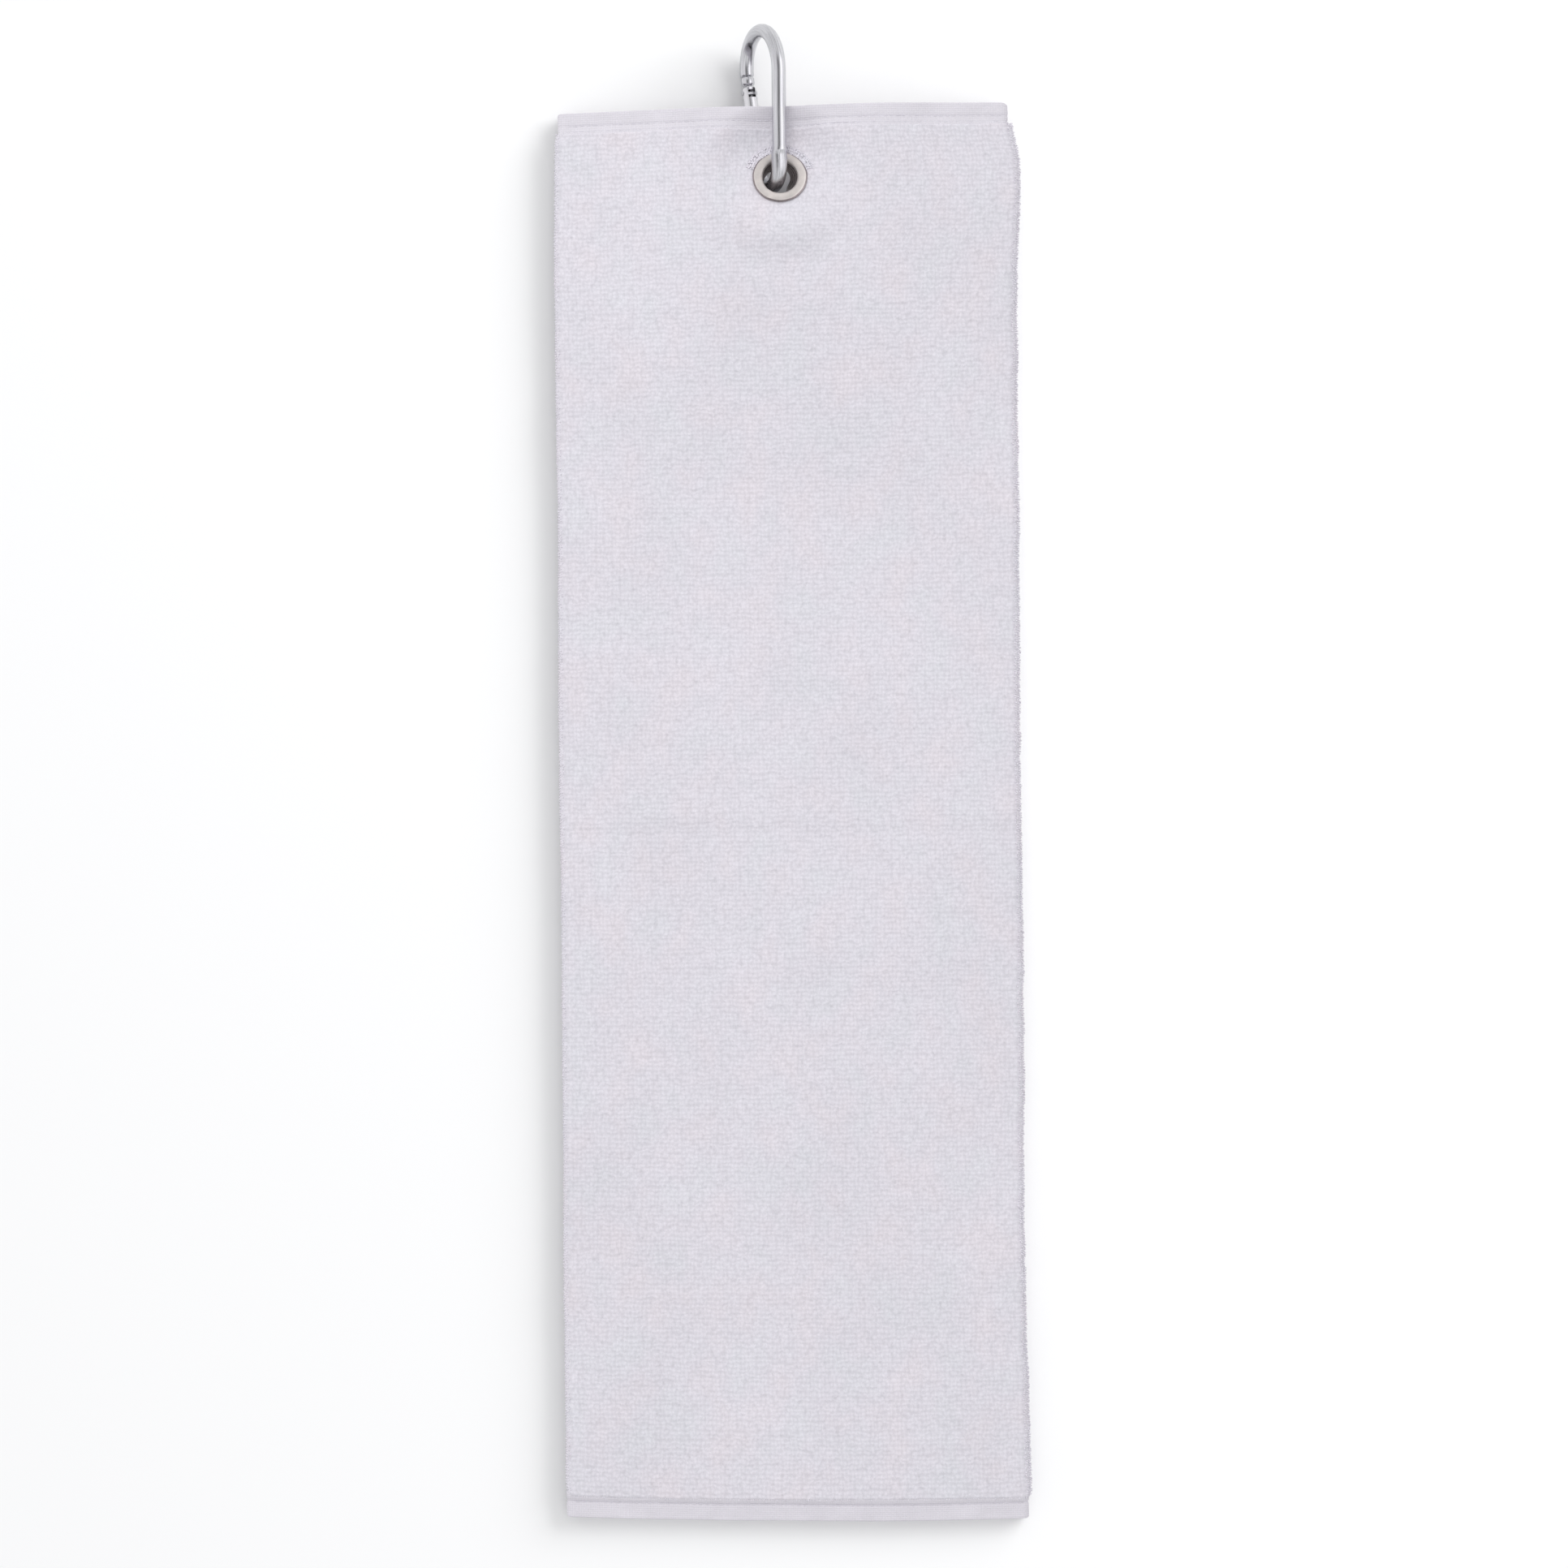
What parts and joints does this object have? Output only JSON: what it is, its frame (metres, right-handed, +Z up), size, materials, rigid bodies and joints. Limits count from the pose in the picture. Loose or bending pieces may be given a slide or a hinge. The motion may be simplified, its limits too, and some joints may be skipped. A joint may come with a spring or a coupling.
{
  "type": "golf towel",
  "caption": "Terry cloth golf towel folded lengthwise in three, with a metal eyelet near one end and a spring-gate carabiner to hang it from a bag.",
  "frame": {"origin": "middle of the whole object's footprint, on the table that the towel lies on", "axes": "+Y along the towel towards the carabiner, +X across it to the right of the front panel, +Z up out of the front panel"},
  "size_m": [0.1668, 0.5312, 0.0295],
  "materials": {
    "terry": "white cotton terry with a faint lavender cast, short looped pile",
    "hem_weave": "flat-woven cotton hem, two rows of stitching",
    "nickel": "satin nickel plate over brass, slightly warm",
    "aluminium": "polished drawn aluminium wire",
    "steel": "plain steel rivets and spring"
  },
  "bodies": {
    "towel_upper": {"front_panel_upper": "terry", "inner_flap_upper": "terry", "back_flap_upper": "terry", "left_fold_upper": "terry", "right_fold_upper": "terry", "inner_flap_side_hem_upper": "hem_weave", "back_flap_side_hem_upper": "hem_weave", "front_panel_top_hem": "hem_weave", "inner_flap_top_hem": "hem_weave", "back_flap_top_hem": "hem_weave", "eyelet": "nickel", "eyelet_washer": "nickel"},
    "towel_lower": {"front_panel_lower": "terry", "inner_flap_lower": "terry", "back_flap_lower": "terry", "left_fold_lower": "terry", "right_fold_lower": "terry", "inner_flap_side_hem_lower": "hem_weave", "back_flap_side_hem_lower": "hem_weave", "front_panel_bottom_hem": "hem_weave", "inner_flap_bottom_hem": "hem_weave", "back_flap_bottom_hem": "hem_weave"},
    "carabiner": {"carabiner_frame": "aluminium"},
    "gate": {"gate": "aluminium", "hinge_pin": "steel", "latch_pin": "steel", "gate_spring": "steel"},
    "plunger": {"gate_plunger": "steel"}
  },
  "joints": [
    {"name": "half_fold", "type": "hinge", "parent": "towel_upper", "child": "towel_lower", "pos_m": [0, -0.021, 0.00675], "axis": [-1, 0, 0], "range_deg": [0, 170]},
    {"name": "carabiner_swing", "type": "hinge", "parent": "towel_upper", "child": "carabiner", "pos_m": [-0.0023, 0.21, 0.0172], "axis": [0, 0.309, 0.9511], "range_deg": [-42, 32]},
    {"name": "gate_hinge", "type": "hinge", "parent": "carabiner", "child": "gate", "pos_m": [-0.01005, 0.22017, 0.00535], "axis": [0.9063, 0.0734, -0.4162], "range_deg": [0, 18], "stiffness_Nm_per_rad": 0.02, "springref_deg": -20.05},
    {"name": "plunger_slide", "type": "slide", "parent": "gate", "child": "plunger", "axis": [-0.1252, 0.9872, -0.0985], "range_m": [0, 0.0006], "deforming": ["gate_spring"]}
  ],
  "couplings": [
    {"joint": "plunger_slide", "follows": "gate_hinge", "m_per_rad": 0.0019}
  ]
}
